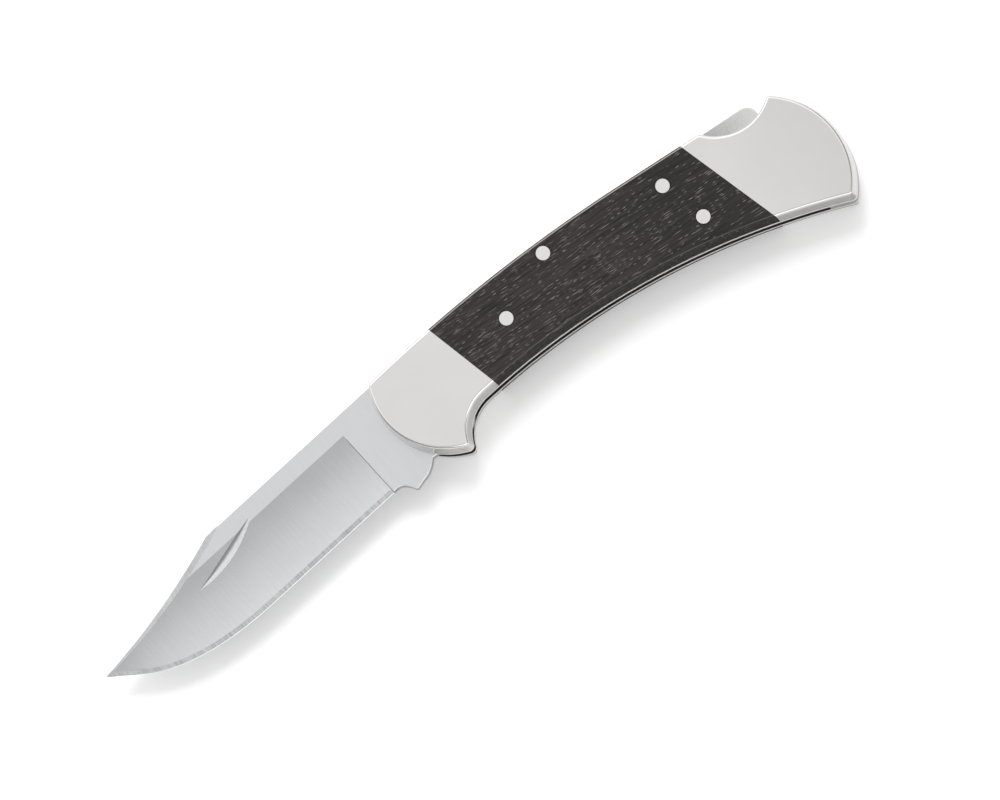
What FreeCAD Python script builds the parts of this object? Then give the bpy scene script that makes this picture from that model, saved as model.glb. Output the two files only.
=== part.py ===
# Folding pocket knife with a back lock, blade open, each piece its own solid, in millimetres.
# The origin is the blade pivot's axis on the outer face of the right side, which lies down.
# +X runs to the butt, +Y to the back of the knife and +Z from the right side to the left.
import FreeCAD, Part
import math
import os

V = FreeCAD.Vector

# Thickness of the stack, from the right side to the left
blade_thickness = 3.0
well_clearance = 0.05
liner_thickness = 1.5
side_thickness = 4.6

# Handle, seen from the side
front_reach = 9.6
butt_length = 12.4
back_height = 14.2
back_crest = 2.0
back_radius = 330.0
back_straight = 58.0
bolster_front_radius = 16.4
bolster_front_rise = 5.0
belly_drop = 3.9
finger_setback = 9.5
finger_radius = 9.4
belly_radius = 168.0
butt_radius = 18.5
butt_drop = 10.9
thumb_notch_radius = 10.35
thumb_notch_setback = 12.0
thumb_notch_rise = 11.1
corner_radius = 1.2
beak_radius = 1.2
thumb_notch_lip_radius = 2.2
side_inset = 0.45
outer_edge_radius = 0.65

# Seams between the bolsters and the scales
front_seam_top = 9.8
front_seam_lean = 2.9
rear_bolster_top_length = 25.9
rear_seam_lean = 4.8

# Blade
blade_reach = 85.8
tip_height = 6.9
clip_start = 51.8
clip_hollow = 1.05
edge_depth = 5.2
edge_straight = 50.0
plunge_setback = 17.3
plunge_lean = 0.4
kick_setback = 13.3
kick_depth = 8.0
tang_setback = 6.9
tang_drop = 5.4
flat_width = 3.9
grind_wheel_radius = 60.0
shoulder_thickness = 0.56
edge_thickness = 0.06
edge_bevel_width = 1.1
false_edge_lead = 3.6
false_edge_width = 1.5
false_edge_thickness = 1.0
false_edge_stations = 6
nick_length = 22.55
nick_depth = 0.92
nick_wheel_width = 2.4
nick_lean_degrees = 42.0
nick_flare_degrees = 26.6
nick_middle = 53.45
nick_height = 8.765
nick_tilt_degrees = 11.9

# Lock
pivot_pin_diameter = 4.8
tang_radius = 6.9
lock_depth = 1.1
tooth_front = 0.9
tooth_width = 4.4
tooth_side_clearance = 0.25
tooth_gap = 0.1
bar_bend = 66.0
bar_edge_clearance = 0.45
kick_clearance = 1.1
lock_pin_setback = 37.4
lock_pin_depth = 3.1
thumb_end_setback = 9.6
thumb_end_height = 4.5
thumb_end_radius = 2.4
thumb_end_toe_radius = 1.0
thumb_end_clearance = 0.7
spring_thickness = 0.8
spring_width = 2.8
spring_overhang = 5.4
spring_leg_drop = 7.0
spring_leg_setback = 1.4
spring_gap = 0.1
spring_travel = 0.6
tip_clearance = 0.6

# Pins and rivets, their clearances, and the distance within which two places count as one
pin_diameter = 3.15
rivet_shank_diameter = 2.0
holder_pin_diameter = 3.0
fixed_clearance = 0.01
running_clearance = 0.03
cut_overrun = 1.0
match_distance = 0.01

# Places along the curved part of the edge, as shares of its length and of its rise to the tip
edge_curve_shares = ((0.196, 0.019), (0.405, 0.094), (0.612, 0.262), (0.749, 0.451), (0.830, 0.614),
                     (0.911, 0.798))
# Those of the places that the lock bar's lower edge follows before its flat thumb end
bar_followed_shares = edge_curve_shares[:4]
# The kick's outline, as shares of the kick's setback and of its depth below the edge
choil_shares = ((1.150, 0.110), (1.085, 0.430), (1.035, 0.880))
kick_toe_shares = (0.740, 0.740)
kick_back_shares = (0.600, 0.400)
# Rivets, as shares of the way along the back of the scale and of the way from belly to back
rivet_shares = {
    "front": (0.212, 0.493),
    "rear_upper": (0.873, 0.743),
    "rear_lower": (0.903, 0.290),
}
# Pins of the spring holder, as shares of the holder's length and of the butt's height
holder_pin_shares = {"upper": (0.52, 0.70), "lower": (0.40, 0.26)}

# Levels and places worked out from the sizes above
right_liner_z = side_thickness
well_z = right_liner_z + liner_thickness
well_width = blade_thickness + 2 * well_clearance
left_liner_z = well_z + well_width
left_side_z = left_liner_z + liner_thickness
total_thickness = left_side_z + side_thickness
middle_z = total_thickness / 2
blade_z = well_z + well_clearance
rear_reach = blade_reach + butt_length
blade_back = back_height
grind_line = blade_back - flat_width
notch_radius = tang_radius - lock_depth
bar_end = rear_reach - thumb_end_setback
holder_front = blade_reach + tip_clearance

front_centre = V(bolster_front_radius - front_reach, bolster_front_rise)
back_centre = V(back_crest, back_height - back_radius)
finger_centre = V(finger_setback, -belly_drop - finger_radius)
belly_centre = V(finger_setback, -belly_drop - belly_radius)
butt_centre = V(rear_reach - butt_radius, -butt_drop)
thumb_notch_centre = V(rear_reach - thumb_notch_setback, thumb_notch_rise)


def back_y(x):
    """Height of the handle's back: an arc, then its tangent."""
    along = min(x, back_straight) - back_crest
    drop = math.sqrt(back_radius ** 2 - along ** 2)
    return back_centre.y + drop - max(x - back_straight, 0) * along / drop


def belly_y(x):
    """Height of the handle's belly behind the finger curve."""
    return belly_centre.y + math.sqrt(belly_radius ** 2 - (x - finger_setback) ** 2)


def circles_meet(centre, radius, other_centre, other_radius, side):
    """One of the two points where two circles cross; side is 1 or -1."""
    apart = other_centre - centre
    along = (apart.Length ** 2 + radius ** 2 - other_radius ** 2) / (2 * apart.Length)
    away = side * math.sqrt(radius ** 2 - along ** 2)
    ahead = apart / apart.Length
    return centre + ahead * along + V(-ahead.y, ahead.x) * away


def line_meets_circle(start, end, centre, radius, side):
    """One of the two points where a line crosses a circle; side is 1 or -1 along the line."""
    ahead = (end - start).normalize()
    nearest = start + ahead * (centre - start).dot(ahead)
    return nearest + ahead * (side * math.sqrt(radius ** 2 - (nearest - centre).Length ** 2))


def arc_about(centre, radius, start, end, towards):
    """Arc of a circle from start to end, bulging towards a direction."""
    return Part.Arc(start, centre + towards.normalize() * radius, end).toShape()


def arc_along(height, start_x, end_x):
    """Arc along a line of the handle whose height is a function of x."""
    places = [V(x, height(x)) for x in (start_x, (start_x + end_x) / 2, end_x)]
    return Part.Arc(*places).toShape()


def line(start, end):
    return Part.LineSegment(start, end).toShape()


def chain(points):
    """Straight edges from each point to the next."""
    return [line(start, end) for start, end in zip(points, points[1:])]


def prism(edges, z, height):
    """Upright solid on a closed outline."""
    face = Part.Face(Part.Wire(edges))
    face.translate(V(0, 0, z))
    return face.extrude(V(0, 0, height))


def upright_edges(solid, place):
    """The solid's upright edges at one place of its outline."""
    found = []
    for edge in solid.Edges:
        ends = [vertex.Point for vertex in edge.Vertexes]
        if len(ends) == 2 and all(math.hypot(p.x - place.x, p.y - place.y) < match_distance for p in ends):
            found.append(edge)
    return found


def round_uprights(solid, places, radius):
    """Rounds the upright edges at some places of the outline."""
    edges = []
    for place in places:
        edges += upright_edges(solid, place)
    return solid.makeFillet(radius, edges)


def drill(solid, place, radius):
    """Cuts a round hole through the whole thickness of the knife."""
    depth = total_thickness + 2 * cut_overrun
    return solid.cut(Part.makeCylinder(radius, depth, V(place.x, place.y, -cut_overrun)))


def outline_corners(inset):
    """Corners of the handle's outline, drawn in by an inset, by name."""
    back = back_radius - inset
    butt = butt_radius - inset
    finger = finger_radius + inset
    notch = thumb_notch_radius + inset
    outward = (V(back_straight, back_y(back_straight)) - back_centre).normalize()
    bend = back_centre + outward * back
    past_bend = bend + V(outward.y, -outward.x)
    return {
        "back_front": circles_meet(front_centre, bolster_front_radius - inset, back_centre, back, -1),
        "back_bend": bend,
        "notch_start": line_meets_circle(bend, past_bend, thumb_notch_centre, notch, -1),
        "notch_end": circles_meet(thumb_notch_centre, notch, butt_centre, butt, 1),
        "butt_heel": circles_meet(belly_centre, belly_radius + inset, butt_centre, butt, -1),
        "belly_front": finger_centre + V(0, finger),
        "beak": circles_meet(front_centre, bolster_front_radius - inset, finger_centre, finger, -1),
    }


# Places of the handle's corners, of the seams and of the pins
handle_corners = outline_corners(0)
front_seam = (V(front_seam_top, back_y(front_seam_top)), V(front_seam_top + front_seam_lean, -belly_drop))
rear_seam_top = rear_reach - rear_bolster_top_length
rear_seam_bottom = rear_seam_top + rear_seam_lean
rear_seam = (V(rear_seam_top, back_y(rear_seam_top)), V(rear_seam_bottom, belly_y(rear_seam_bottom)))
pivot_place = V(0, 0)
lock_pin_place = V(lock_pin_setback, back_y(lock_pin_setback) - lock_pin_depth)


def rivet_place(along_share, up_share):
    x = front_seam[0].x + along_share * (rear_seam[0].x - front_seam[0].x)
    return V(x, belly_y(x) + up_share * (back_y(x) - belly_y(x)))


def holder_pin_place(along_share, up_share):
    x = holder_front + along_share * (rear_reach - holder_front)
    low = handle_corners["butt_heel"].y
    return V(x, low + up_share * (handle_corners["notch_end"].y - low))


rivet_places = {name: rivet_place(*shares) for name, shares in rivet_shares.items()}
holder_pin_places = {name: holder_pin_place(*shares) for name, shares in holder_pin_shares.items()}


def outline_edges(inset):
    """The handle's outline, drawn in by an inset."""
    at = outline_corners(inset)
    along_belly = (at["butt_heel"] + at["belly_front"]) / 2 - belly_centre
    front = bolster_front_radius - inset
    notch = thumb_notch_radius + inset
    return [
        arc_about(back_centre, back_radius - inset, at["back_front"], at["back_bend"], V(0, 1)),
        line(at["back_bend"], at["notch_start"]),
        arc_about(thumb_notch_centre, notch, at["notch_start"], at["notch_end"], V(0, -1)),
        arc_about(butt_centre, butt_radius - inset, at["notch_end"], at["butt_heel"], V(1, 0)),
        arc_about(belly_centre, belly_radius + inset, at["butt_heel"], at["belly_front"], along_belly),
        arc_about(finger_centre, finger_radius + inset, at["belly_front"], at["beak"], V(-1, 1)),
        arc_about(front_centre, front, at["beak"], at["back_front"], V(-1, 0)),
    ]


def handle_slab(z, height, inset):
    """A slab of the handle's whole outline, drawn in by an inset, its corners rounded."""
    at = outline_corners(inset)
    slab = prism(outline_edges(inset), z, height)
    slab = round_uprights(slab, [at["back_front"], at["butt_heel"], at["notch_end"]], corner_radius)
    slab = round_uprights(slab, [at["beak"]], beak_radius)
    return round_uprights(slab, [at["notch_start"]], thumb_notch_lip_radius)


def rounded_outline(z, inset):
    """The handle's outline at one level, drawn in by an inset, its corners rounded."""
    slab = handle_slab(z, side_thickness, inset)
    return min(slab.Faces, key=lambda face: face.CenterOfMass.z).OuterWire


def side_slab(inner_z, outer_z):
    """One side's slab, bolsters and scale together: its walls lean in and its outer edge is rounded over."""
    levels = [rounded_outline(inner_z, 0), rounded_outline(outer_z, side_inset)]
    slab = Part.makeLoft(levels, True, True)
    outer = [edge for edge in slab.Edges
             if all(abs(vertex.Z - outer_z) < match_distance for vertex in edge.Vertexes)]
    return slab.makeFillet(outer_edge_radius, outer)


def between_seams(front, rear):
    """Block that holds what lies behind one seam and ahead of another."""
    tall = rear_reach
    corners = []
    for (top, bottom), height in ((front, tall), (front, -tall), (rear, -tall), (rear, tall)):
        lean = (bottom.x - top.x) / (bottom.y - top.y)
        corners.append(V(top.x + lean * (height - top.y), height))
    depth = total_thickness + 2 * cut_overrun
    return prism(chain(corners + corners[:1]), -cut_overrun, depth)


def side_pieces():
    """Front bolster, scale and rear bolster of each side, drilled for their pins."""
    ahead = tuple(point - V(rear_reach, 0) for point in front_seam)
    behind = tuple(point + V(rear_reach, 0) for point in rear_seam)
    stretches = {
        "front_bolster": (ahead, front_seam),
        "scale": (front_seam, rear_seam),
        "rear_bolster": (rear_seam, behind),
    }
    pieces = {}
    levels = {"left": (left_side_z, total_thickness), "right": (right_liner_z, 0)}
    for side, (inner_z, outer_z) in levels.items():
        slab = side_slab(inner_z, outer_z)
        slab = drill(slab, pivot_place, pivot_pin_diameter / 2 + fixed_clearance)
        for place in [lock_pin_place] + list(rivet_places.values()):
            slab = drill(slab, place, pin_diameter / 2 + fixed_clearance)
        for place in holder_pin_places.values():
            slab = drill(slab, place, holder_pin_diameter / 2 + fixed_clearance)
        for name, seams in stretches.items():
            pieces[side + "_" + name] = slab.common(between_seams(*seams))
    return pieces


def liner(z):
    """Inner plate that the bolsters and the scale are fixed to."""
    plate = handle_slab(z, liner_thickness, 0)
    plate = drill(plate, pivot_place, pivot_pin_diameter / 2 + fixed_clearance)
    plate = drill(plate, lock_pin_place, pin_diameter / 2 + fixed_clearance)
    for place in rivet_places.values():
        plate = drill(plate, place, rivet_shank_diameter / 2 + fixed_clearance)
    for place in holder_pin_places.values():
        plate = drill(plate, place, holder_pin_diameter / 2 + fixed_clearance)
    return plate


def through_pin(place, diameter):
    """Pin from one outer face to the other, finished flush."""
    return Part.makeCylinder(diameter / 2, total_thickness, place)


def scale_rivet(place, side):
    """Rivet with a plain head in the scale and a thinner shank in the liner."""
    head_z = left_side_z if side == "left" else 0
    shank_z = left_liner_z if side == "left" else right_liner_z
    head = Part.makeCylinder(pin_diameter / 2, side_thickness, V(place.x, place.y, head_z))
    shank = Part.makeCylinder(rivet_shank_diameter / 2, liner_thickness, V(place.x, place.y, shank_z))
    return head.fuse(shank)


def edge_place(along_share, up_share):
    """Place on the curved part of the blade's edge."""
    x = -edge_straight - along_share * (blade_reach - edge_straight)
    return V(x, -edge_depth + up_share * (tip_height + edge_depth))


def edge_places():
    """The blade's edge from where it leaves the straight to the tip."""
    curved = [edge_place(*shares) for shares in edge_curve_shares]
    return [V(-edge_straight, -edge_depth)] + curved + [V(-blade_reach, tip_height)]


def spline(points):
    curve = Part.BSplineCurve()
    curve.interpolate(points)
    return curve.toShape()


def on_circle(x, radius, side):
    return V(x, side * math.sqrt(radius ** 2 - x ** 2))


def kick_place(along_share, down_share):
    return V(-kick_setback * along_share, -edge_depth - down_share * (kick_depth - edge_depth))


def tang_edges(stop):
    """The round end of the blade: a notch for the lock's tooth open, and another closed."""
    near = tooth_front + tooth_side_clearance
    far = tooth_width - tooth_front + tooth_side_clearance
    closed_heel = on_circle(-far, tang_radius, -1)
    closed = (on_circle(-far, notch_radius, -1), on_circle(near, notch_radius, -1))
    round_start = on_circle(near, tang_radius, -1)
    round_end = on_circle(far, tang_radius, 1)
    open_notch = (on_circle(far, notch_radius, 1), on_circle(-near, notch_radius, 1))
    return [
        line(V(-tang_setback, -tang_drop), closed_heel),
        line(closed_heel, closed[0]),
        arc_about(pivot_place, notch_radius, closed[0], closed[1], V(near - far, -tang_radius)),
        line(closed[1], round_start),
        arc_about(pivot_place, tang_radius, round_start, round_end, V(1, 0)),
        line(round_end, open_notch[0]),
        arc_about(pivot_place, notch_radius, open_notch[0], open_notch[1], V(far - near, tang_radius)),
        line(open_notch[1], stop),
    ]


def clip_edge():
    """The hollow clip, an arc from the back to the tip."""
    start = V(-clip_start, blade_back)
    tip = V(-blade_reach, tip_height)
    return Part.Arc(start, (start + tip) / 2 - V(0, clip_hollow), tip).toShape()


def blade_slab():
    """The blade's outline at its full thickness."""
    stop = V(-tooth_front - tooth_side_clearance, blade_back)
    edge = edge_places()
    heel = V(-plunge_setback, -edge_depth)
    choil = [kick_place(*shares) for shares in choil_shares]
    kick = V(-kick_setback, -kick_depth)
    toe = kick_place(*kick_toe_shares)
    tang = V(-tang_setback, -tang_drop)
    outline = [
        line(stop, V(-clip_start, blade_back)),
        clip_edge(),
        spline(edge[::-1]),
        line(edge[0], heel),
        spline([heel] + choil),
        line(choil[-1], kick),
        line(kick, toe),
        Part.Arc(toe, kick_place(*kick_back_shares), tang).toShape(),
    ]
    return prism(outline + tang_edges(stop), blade_z, blade_thickness)


def grind_section(x, lean, edge_y):
    """Section of what the hollow grind and the edge bevel take off the upper face."""
    shoulder_y = edge_y + edge_bevel_width
    toe_y = edge_y - edge_bevel_width / 4
    outside_z = middle_z + blade_thickness

    def place(y, z):
        return V(x + lean * (grind_line - y) / (grind_line + edge_depth), y, z)

    top = place(grind_line, middle_z + blade_thickness / 2)
    shoulder = place(shoulder_y, middle_z + shoulder_thickness / 2)
    hollow = (top + shoulder) / 2 - V(0, 0, (top - shoulder).Length ** 2 / (8 * grind_wheel_radius))
    toe = place(toe_y, middle_z + edge_thickness / 2)
    corners = [shoulder, toe, place(toe_y, outside_z), place(grind_line, outside_z), top]
    return Part.Wire([Part.Arc(top, hollow, shoulder).toShape()] + chain(corners))


def grind_cutter():
    """What the grind takes off the upper face, from the plunge line to past the tip."""
    edge = edge_places()
    past_tip = edge[-1] + (edge[-1] - edge[-2]) * (cut_overrun / (edge[-1] - edge[-2]).Length)
    sections = [grind_section(-plunge_setback, plunge_lean, -edge_depth)]
    sections += [grind_section(place.x, 0, place.y) for place in edge + [past_tip]]
    return Part.makeLoft(sections, True, True)


def false_edge_section(place, width):
    """Section of the bevel along the clip, on the upper face."""
    face_z = middle_z + blade_thickness / 2
    rim_z = middle_z + false_edge_thickness / 2
    slope = (face_z - rim_z) / false_edge_width
    above = place + V(0, cut_overrun)
    corners = [
        V(place.x, place.y - width, face_z),
        V(above.x, above.y, face_z - slope * (width + cut_overrun)),
        V(above.x, above.y, face_z + blade_thickness),
        V(place.x, place.y - width, face_z + blade_thickness),
    ]
    return Part.Wire(chain(corners + corners[:1]))


def false_edge_cutter():
    """What the bevel along the clip takes off the upper face."""
    clip = clip_edge().discretize(false_edge_stations)
    past_tip = clip[-1] + (clip[-1] - clip[-2]) * (cut_overrun / (clip[-1] - clip[-2]).Length)
    sections = [false_edge_section(clip[0] + V(false_edge_lead, 0), 0)]
    for place in clip:
        left_share = (place.x + blade_reach) / (blade_reach - clip_start)
        sections.append(false_edge_section(place, false_edge_width * left_share))
    sections.append(false_edge_section(past_tip, 0))
    return Part.makeLoft(sections, True, True)


def nick_cutter():
    """The wheel that cuts the nail nick: it leans, so its side leaves a steep upper wall and its rim a slope."""
    reach = nick_depth / math.cos(math.radians(nick_lean_degrees))
    wheel_radius = (nick_length ** 2 / 4 + reach ** 2) / (2 * reach)
    broad_radius = wheel_radius + nick_wheel_width * math.tan(math.radians(nick_flare_degrees))
    base = V(0, -nick_wheel_width, wheel_radius - reach)
    wheel = Part.makeCone(broad_radius, wheel_radius, nick_wheel_width, base, V(0, 1, 0))
    wheel.rotate(V(0, 0, 0), V(1, 0, 0), -nick_lean_degrees)
    wheel.rotate(V(0, 0, 0), V(0, 0, 1), nick_tilt_degrees)
    wheel.translate(V(-nick_middle, nick_height, middle_z + blade_thickness / 2))
    return wheel


def blade():
    """The blade with its hollow grind, false edge, nail nick and pivot hole."""
    solid = blade_slab()
    for cutter in (grind_cutter(), false_edge_cutter()):
        solid = solid.cut(cutter)
        solid = solid.cut(cutter.mirror(V(0, 0, middle_z), V(0, 0, 1)))
    solid = solid.cut(nick_cutter())
    return drill(solid, pivot_place, pivot_pin_diameter / 2 + running_clearance)


def bar_underside():
    """The lock bar's lower edge from its thumb end to its tooth, clear of the folded blade."""
    clear = V(0, bar_edge_clearance)
    followed = [edge_place(*shares) for shares in bar_followed_shares]
    folded = [clear - place for place in [V(-edge_straight, -edge_depth)] + followed]
    step = kick_depth + kick_clearance
    kick_end = V(kick_setback + kick_clearance, step)
    under_pin = V(lock_pin_setback, folded[0].y)
    tooth_back = tooth_width - tooth_front
    tail = V(bar_end, folded[-1].y)
    return [tail] + folded[::-1] + [under_pin, kick_end, V(tooth_back, step)]


def lock_bar():
    """The bar along the back: a tooth at the front, a pin in the middle, a thumb end at the rear."""
    tip_radius = tang_radius + tooth_gap
    tooth_back = tooth_width - tooth_front
    underside = bar_underside()
    top_front = V(-tooth_front, back_y(-tooth_front))
    top_bend = V(bar_bend, back_y(bar_bend))
    top_rear = V(bar_end, thumb_end_height)
    tooth = (on_circle(tooth_back, tip_radius, 1), on_circle(-tooth_front, tip_radius, 1))
    edges = [
        arc_along(back_y, top_front.x, back_straight),
        line(V(back_straight, back_y(back_straight)), top_bend),
        line(top_bend, top_rear),
    ]
    edges += chain([top_rear] + underside + [tooth[0]])
    towards = V(tooth_back - tooth_front, tip_radius)
    edges.append(arc_about(pivot_place, tip_radius, tooth[0], tooth[1], towards))
    edges.append(line(tooth[1], top_front))
    solid = prism(edges, blade_z, blade_thickness)
    solid = round_uprights(solid, [top_rear], thumb_end_radius)
    solid = round_uprights(solid, [underside[0]], thumb_end_toe_radius)
    return drill(solid, lock_pin_place, pin_diameter / 2 + running_clearance)


def spring_corners():
    """The bent leaf spring's outline: a leg held in the holder and a leg under the lock bar's end."""
    top = bar_underside()[0].y - spring_gap
    rear = holder_front + spring_leg_setback + spring_thickness
    foot = top - spring_leg_drop
    nose = blade_reach - spring_overhang
    return [V(nose, top), V(rear, top), V(rear, foot), V(rear - spring_thickness, foot),
            V(rear - spring_thickness, top - spring_thickness), V(nose, top - spring_thickness)]


def lock_spring():
    """Leaf spring that lifts the lock bar's thumb end."""
    corners = spring_corners()
    solid = prism(chain(corners + corners[:1]), middle_z - spring_width / 2, spring_width)
    return round_uprights(solid, [corners[1]], spring_thickness)


def spring_holder():
    """Spacer between the liners at the butt, with a slot for the spring and room for the thumb end."""
    corners = spring_corners()
    top, rear, foot = corners[0].y, corners[1].x, corners[2].y
    shelf = top - spring_thickness - spring_travel
    bay_end = bar_end + thumb_end_clearance
    low = V(holder_front, -rear_reach)
    outline = [
        low,
        V(holder_front, shelf),
        V(rear - spring_thickness - fixed_clearance, shelf),
        V(rear - spring_thickness - fixed_clearance, foot - fixed_clearance),
        V(rear + fixed_clearance, foot - fixed_clearance),
        V(rear + fixed_clearance, shelf),
        V(bay_end, shelf),
        V(bay_end, rear_reach),
        V(rear_reach + cut_overrun, rear_reach),
        V(rear_reach + cut_overrun, -rear_reach),
        low,
    ]
    solid = handle_slab(well_z, well_width, 0).common(prism(chain(outline), well_z, well_width))
    for place in holder_pin_places.values():
        solid = drill(solid, place, holder_pin_diameter / 2 + fixed_clearance)
    return solid


def pieces():
    """Every piece of the knife by name."""
    made = side_pieces()
    made["left_liner"] = liner(left_liner_z)
    made["right_liner"] = liner(right_liner_z)
    made["blade"] = blade()
    made["lock_bar"] = lock_bar()
    made["lock_spring"] = lock_spring()
    made["spring_holder"] = spring_holder()
    made["blade_pivot_pin"] = through_pin(pivot_place, pivot_pin_diameter)
    made["lock_bar_pin"] = through_pin(lock_pin_place, pin_diameter)
    for name, place in holder_pin_places.items():
        made[name + "_holder_pin"] = through_pin(place, holder_pin_diameter)
    for name, place in rivet_places.items():
        for side in ("left", "right"):
            made[side + "_" + name + "_rivet"] = scale_rivet(place, side)
    return made


os.makedirs("parts", exist_ok=True)
for name, solid in pieces().items():
    print(name, len(solid.Solids), round(solid.Volume, 2), solid.isValid())
    solid.exportStep("parts/" + name + ".step")
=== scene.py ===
import math

import bmesh
import bpy
from mathutils import Matrix, Vector
from mathutils.geometry import interpolate_bezier


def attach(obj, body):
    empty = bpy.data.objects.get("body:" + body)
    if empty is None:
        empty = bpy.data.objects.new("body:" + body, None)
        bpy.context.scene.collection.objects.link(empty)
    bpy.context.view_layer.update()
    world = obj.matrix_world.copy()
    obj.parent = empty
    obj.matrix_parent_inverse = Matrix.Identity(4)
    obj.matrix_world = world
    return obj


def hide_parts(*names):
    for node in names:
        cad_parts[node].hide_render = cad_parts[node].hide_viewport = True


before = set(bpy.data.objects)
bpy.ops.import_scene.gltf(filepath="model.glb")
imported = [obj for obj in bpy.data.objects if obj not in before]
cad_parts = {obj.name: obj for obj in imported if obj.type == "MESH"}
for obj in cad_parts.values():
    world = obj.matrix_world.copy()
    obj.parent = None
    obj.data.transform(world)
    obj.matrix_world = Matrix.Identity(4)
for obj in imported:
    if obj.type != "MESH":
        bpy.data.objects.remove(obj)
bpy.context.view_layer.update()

# Liners: two plates of nickel silver sheet, one on each side of the blade, that all the rest is fixed to.
# They are blanked from sheet and drilled, and their edges are ground flush with the sides on a belt.
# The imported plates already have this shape, so they stay and get the ground metal.
mm = 0.001


def srgb(hex_colour):
    """Linear colour of an sRGB hex value."""
    parts = [int(hex_colour[i:i + 2], 16) / 255 for i in (0, 2, 4)]
    return [c / 12.92 if c <= 0.04045 else ((c + 0.055) / 1.055) ** 2.4 for c in parts] + [1.0]


def add(tree, kind, inputs=None, stops=(), **settings):
    """Adds a node with its settings. An input is a value or the output that feeds it; stops are a ramp's."""
    made = tree.nodes.new(kind)
    for name, value in settings.items():
        setattr(made, name, value)
    for i, (where, grey) in enumerate(stops):
        stop = made.color_ramp.elements[i] if i < 2 else made.color_ramp.elements.new(where)
        stop.position = where
        stop.color = (grey, grey, grey, 1)
    for name, value in (inputs or {}).items():
        if isinstance(value, bpy.types.NodeSocket):
            tree.links.new(value, made.inputs[name])
        else:
            made.inputs[name].default_value = value
    return made


def shader_of(material):
    """A material's node tree and its shader."""
    tree = material.node_tree
    return tree, next(n for n in tree.nodes if n.type == "BSDF_PRINCIPLED")


def start_material(name):
    """A new material with its node tree, its shader and its object coordinates."""
    material = bpy.data.materials.new(name)
    material.use_nodes = True
    tree, shader = shader_of(material)
    return material, tree, shader, add(tree, "ShaderNodeTexCoord").outputs["Object"]


haze_size = 9 * mm


def ground_metal(name, dark, light, roughness, along_x, across_x, height):
    """Metal with the lines of a belt or wheel, given by their size along X and across it, and their depth."""
    material, tree, shader, place = start_material(name)
    spread = add(tree, "ShaderNodeMapping", {"Vector": place, "Scale": (along_x, across_x, across_x)},
                 vector_type="TEXTURE")
    lines = add(tree, "ShaderNodeTexNoise", {"Vector": spread.outputs[0], "Scale": 1.0, "Detail": 3.0})
    haze = add(tree, "ShaderNodeTexNoise", {"Vector": place, "Scale": 1 / haze_size, "Detail": 2.0})
    tone = add(tree, "ShaderNodeMix", {0: lines.outputs[0], 6: srgb(dark), 7: srgb(light)}, data_type="RGBA")
    rough = add(tree, "ShaderNodeMapRange", {0: haze.outputs[0], 1: 0.3, 2: 0.7,
                                             3: roughness[0], 4: roughness[1]})
    bump = add(tree, "ShaderNodeBump", {"Height": lines.outputs[0], "Strength": 1.0, "Distance": height})
    tree.links.new(tone.outputs[2], shader.inputs["Base Color"])
    tree.links.new(rough.outputs[0], shader.inputs["Roughness"])
    tree.links.new(bump.outputs[0], shader.inputs["Normal"])
    shader.inputs["Metallic"].default_value = 1.0
    return material


def dress(node, material):
    """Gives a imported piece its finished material."""
    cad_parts[node].data.materials[0] = material


# A belt leaves the sheet's edge pale, with soft lines along it, 0.15 mm wide and drawn twice that to show.
ground_sheet = ground_metal("nickel_silver_sheet_belt_ground", "e2e1de", "f2f1ee", (0.40, 0.50),
                            6 * mm, 0.3 * mm, 0.002 * mm)
# Only the edges are ground. The faces are painted a dark grey, as painted shade for the deep slot between the
# liners.
tree, shader = shader_of(ground_sheet)
turn = add(tree, "ShaderNodeSeparateXYZ", {0: add(tree, "ShaderNodeTexCoord").outputs["Normal"]})
broad = add(tree, "ShaderNodeMath", {0: turn.outputs[2]}, operation="ABSOLUTE")
edge_tone = shader.inputs["Base Color"].links[0].from_socket
faces_painted_shade = add(tree, "ShaderNodeMix", {0: broad.outputs[0], 6: edge_tone, 7: srgb("4a4845")},
             data_type="RGBA")
tree.links.new(faces_painted_shade.outputs[2], shader.inputs["Base Color"])
for side in ("left", "right"):
    dress(side + "_liner", ground_sheet)

# Spring holder and lock spring: a steel spacer pinned between the liners at the butt, and a bent leaf in it.
# The spacer is ground flush with the handle all round; the leaf is hardened and left dark grey inside.
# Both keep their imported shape.

# Ground carbon steel is a middle grey with short belt lines, drawn 0.35 mm wide to show.
spacer_steel = ground_metal("carbon_steel_spacer_ground", "8d8d8d", "b4b3b2", (0.30, 0.42),
                            5 * mm, 0.35 * mm, 0.003 * mm)
dress("spring_holder", spacer_steel)
# Hardened and tempered steel that is never polished stays dull and dark.
leaf_steel = ground_metal("spring_steel_hardened", "55565a", "77787c", (0.35, 0.5),
                          4 * mm, 0.3 * mm, 0.002 * mm)
dress("lock_spring", leaf_steel)

# Blade: hollow-ground stainless steel with a clip point, a nail nick and a tang that turns on the pivot pin.
# It is blanked, its faces ground flat, hollow-ground on a wheel from both sides, and the edge honed last.
# The blank is drawn here as its outline and cut with the same wheels.
side_thick = 4.6
liner_thick = 1.5
blade_play = 0.05
blade_thick = 3.0
blade_half = blade_thick / 2
blade_z = side_thick + liner_thick + blade_play
blade_middle = blade_z + blade_half
blade_back = 14.2
tip = (-85.8, 6.9)
clip_corner = (-51.8, blade_back)
clip_centre = (-99.597, 153.988)
edge_y = -5.2
plunge_x = -17.3
grind_y = 10.3
edge_curves = [[(-50, edge_y), (-58.25, edge_y), (-66.12, -4.43), (-73.24, -1.53)],
               [(-73.24, -1.53), (-78.03, 0.42), (-81.82, 3.96), tip]]
edge_steps = 18
blade_break = 0.14
pivot = (0, 0)
pivot_bore = 2.43
tang_radius = 6.9
notch_radius = 5.8
notch_stop = -1.15
notch_end = 3.75
weld = 0.002 * mm


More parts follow.
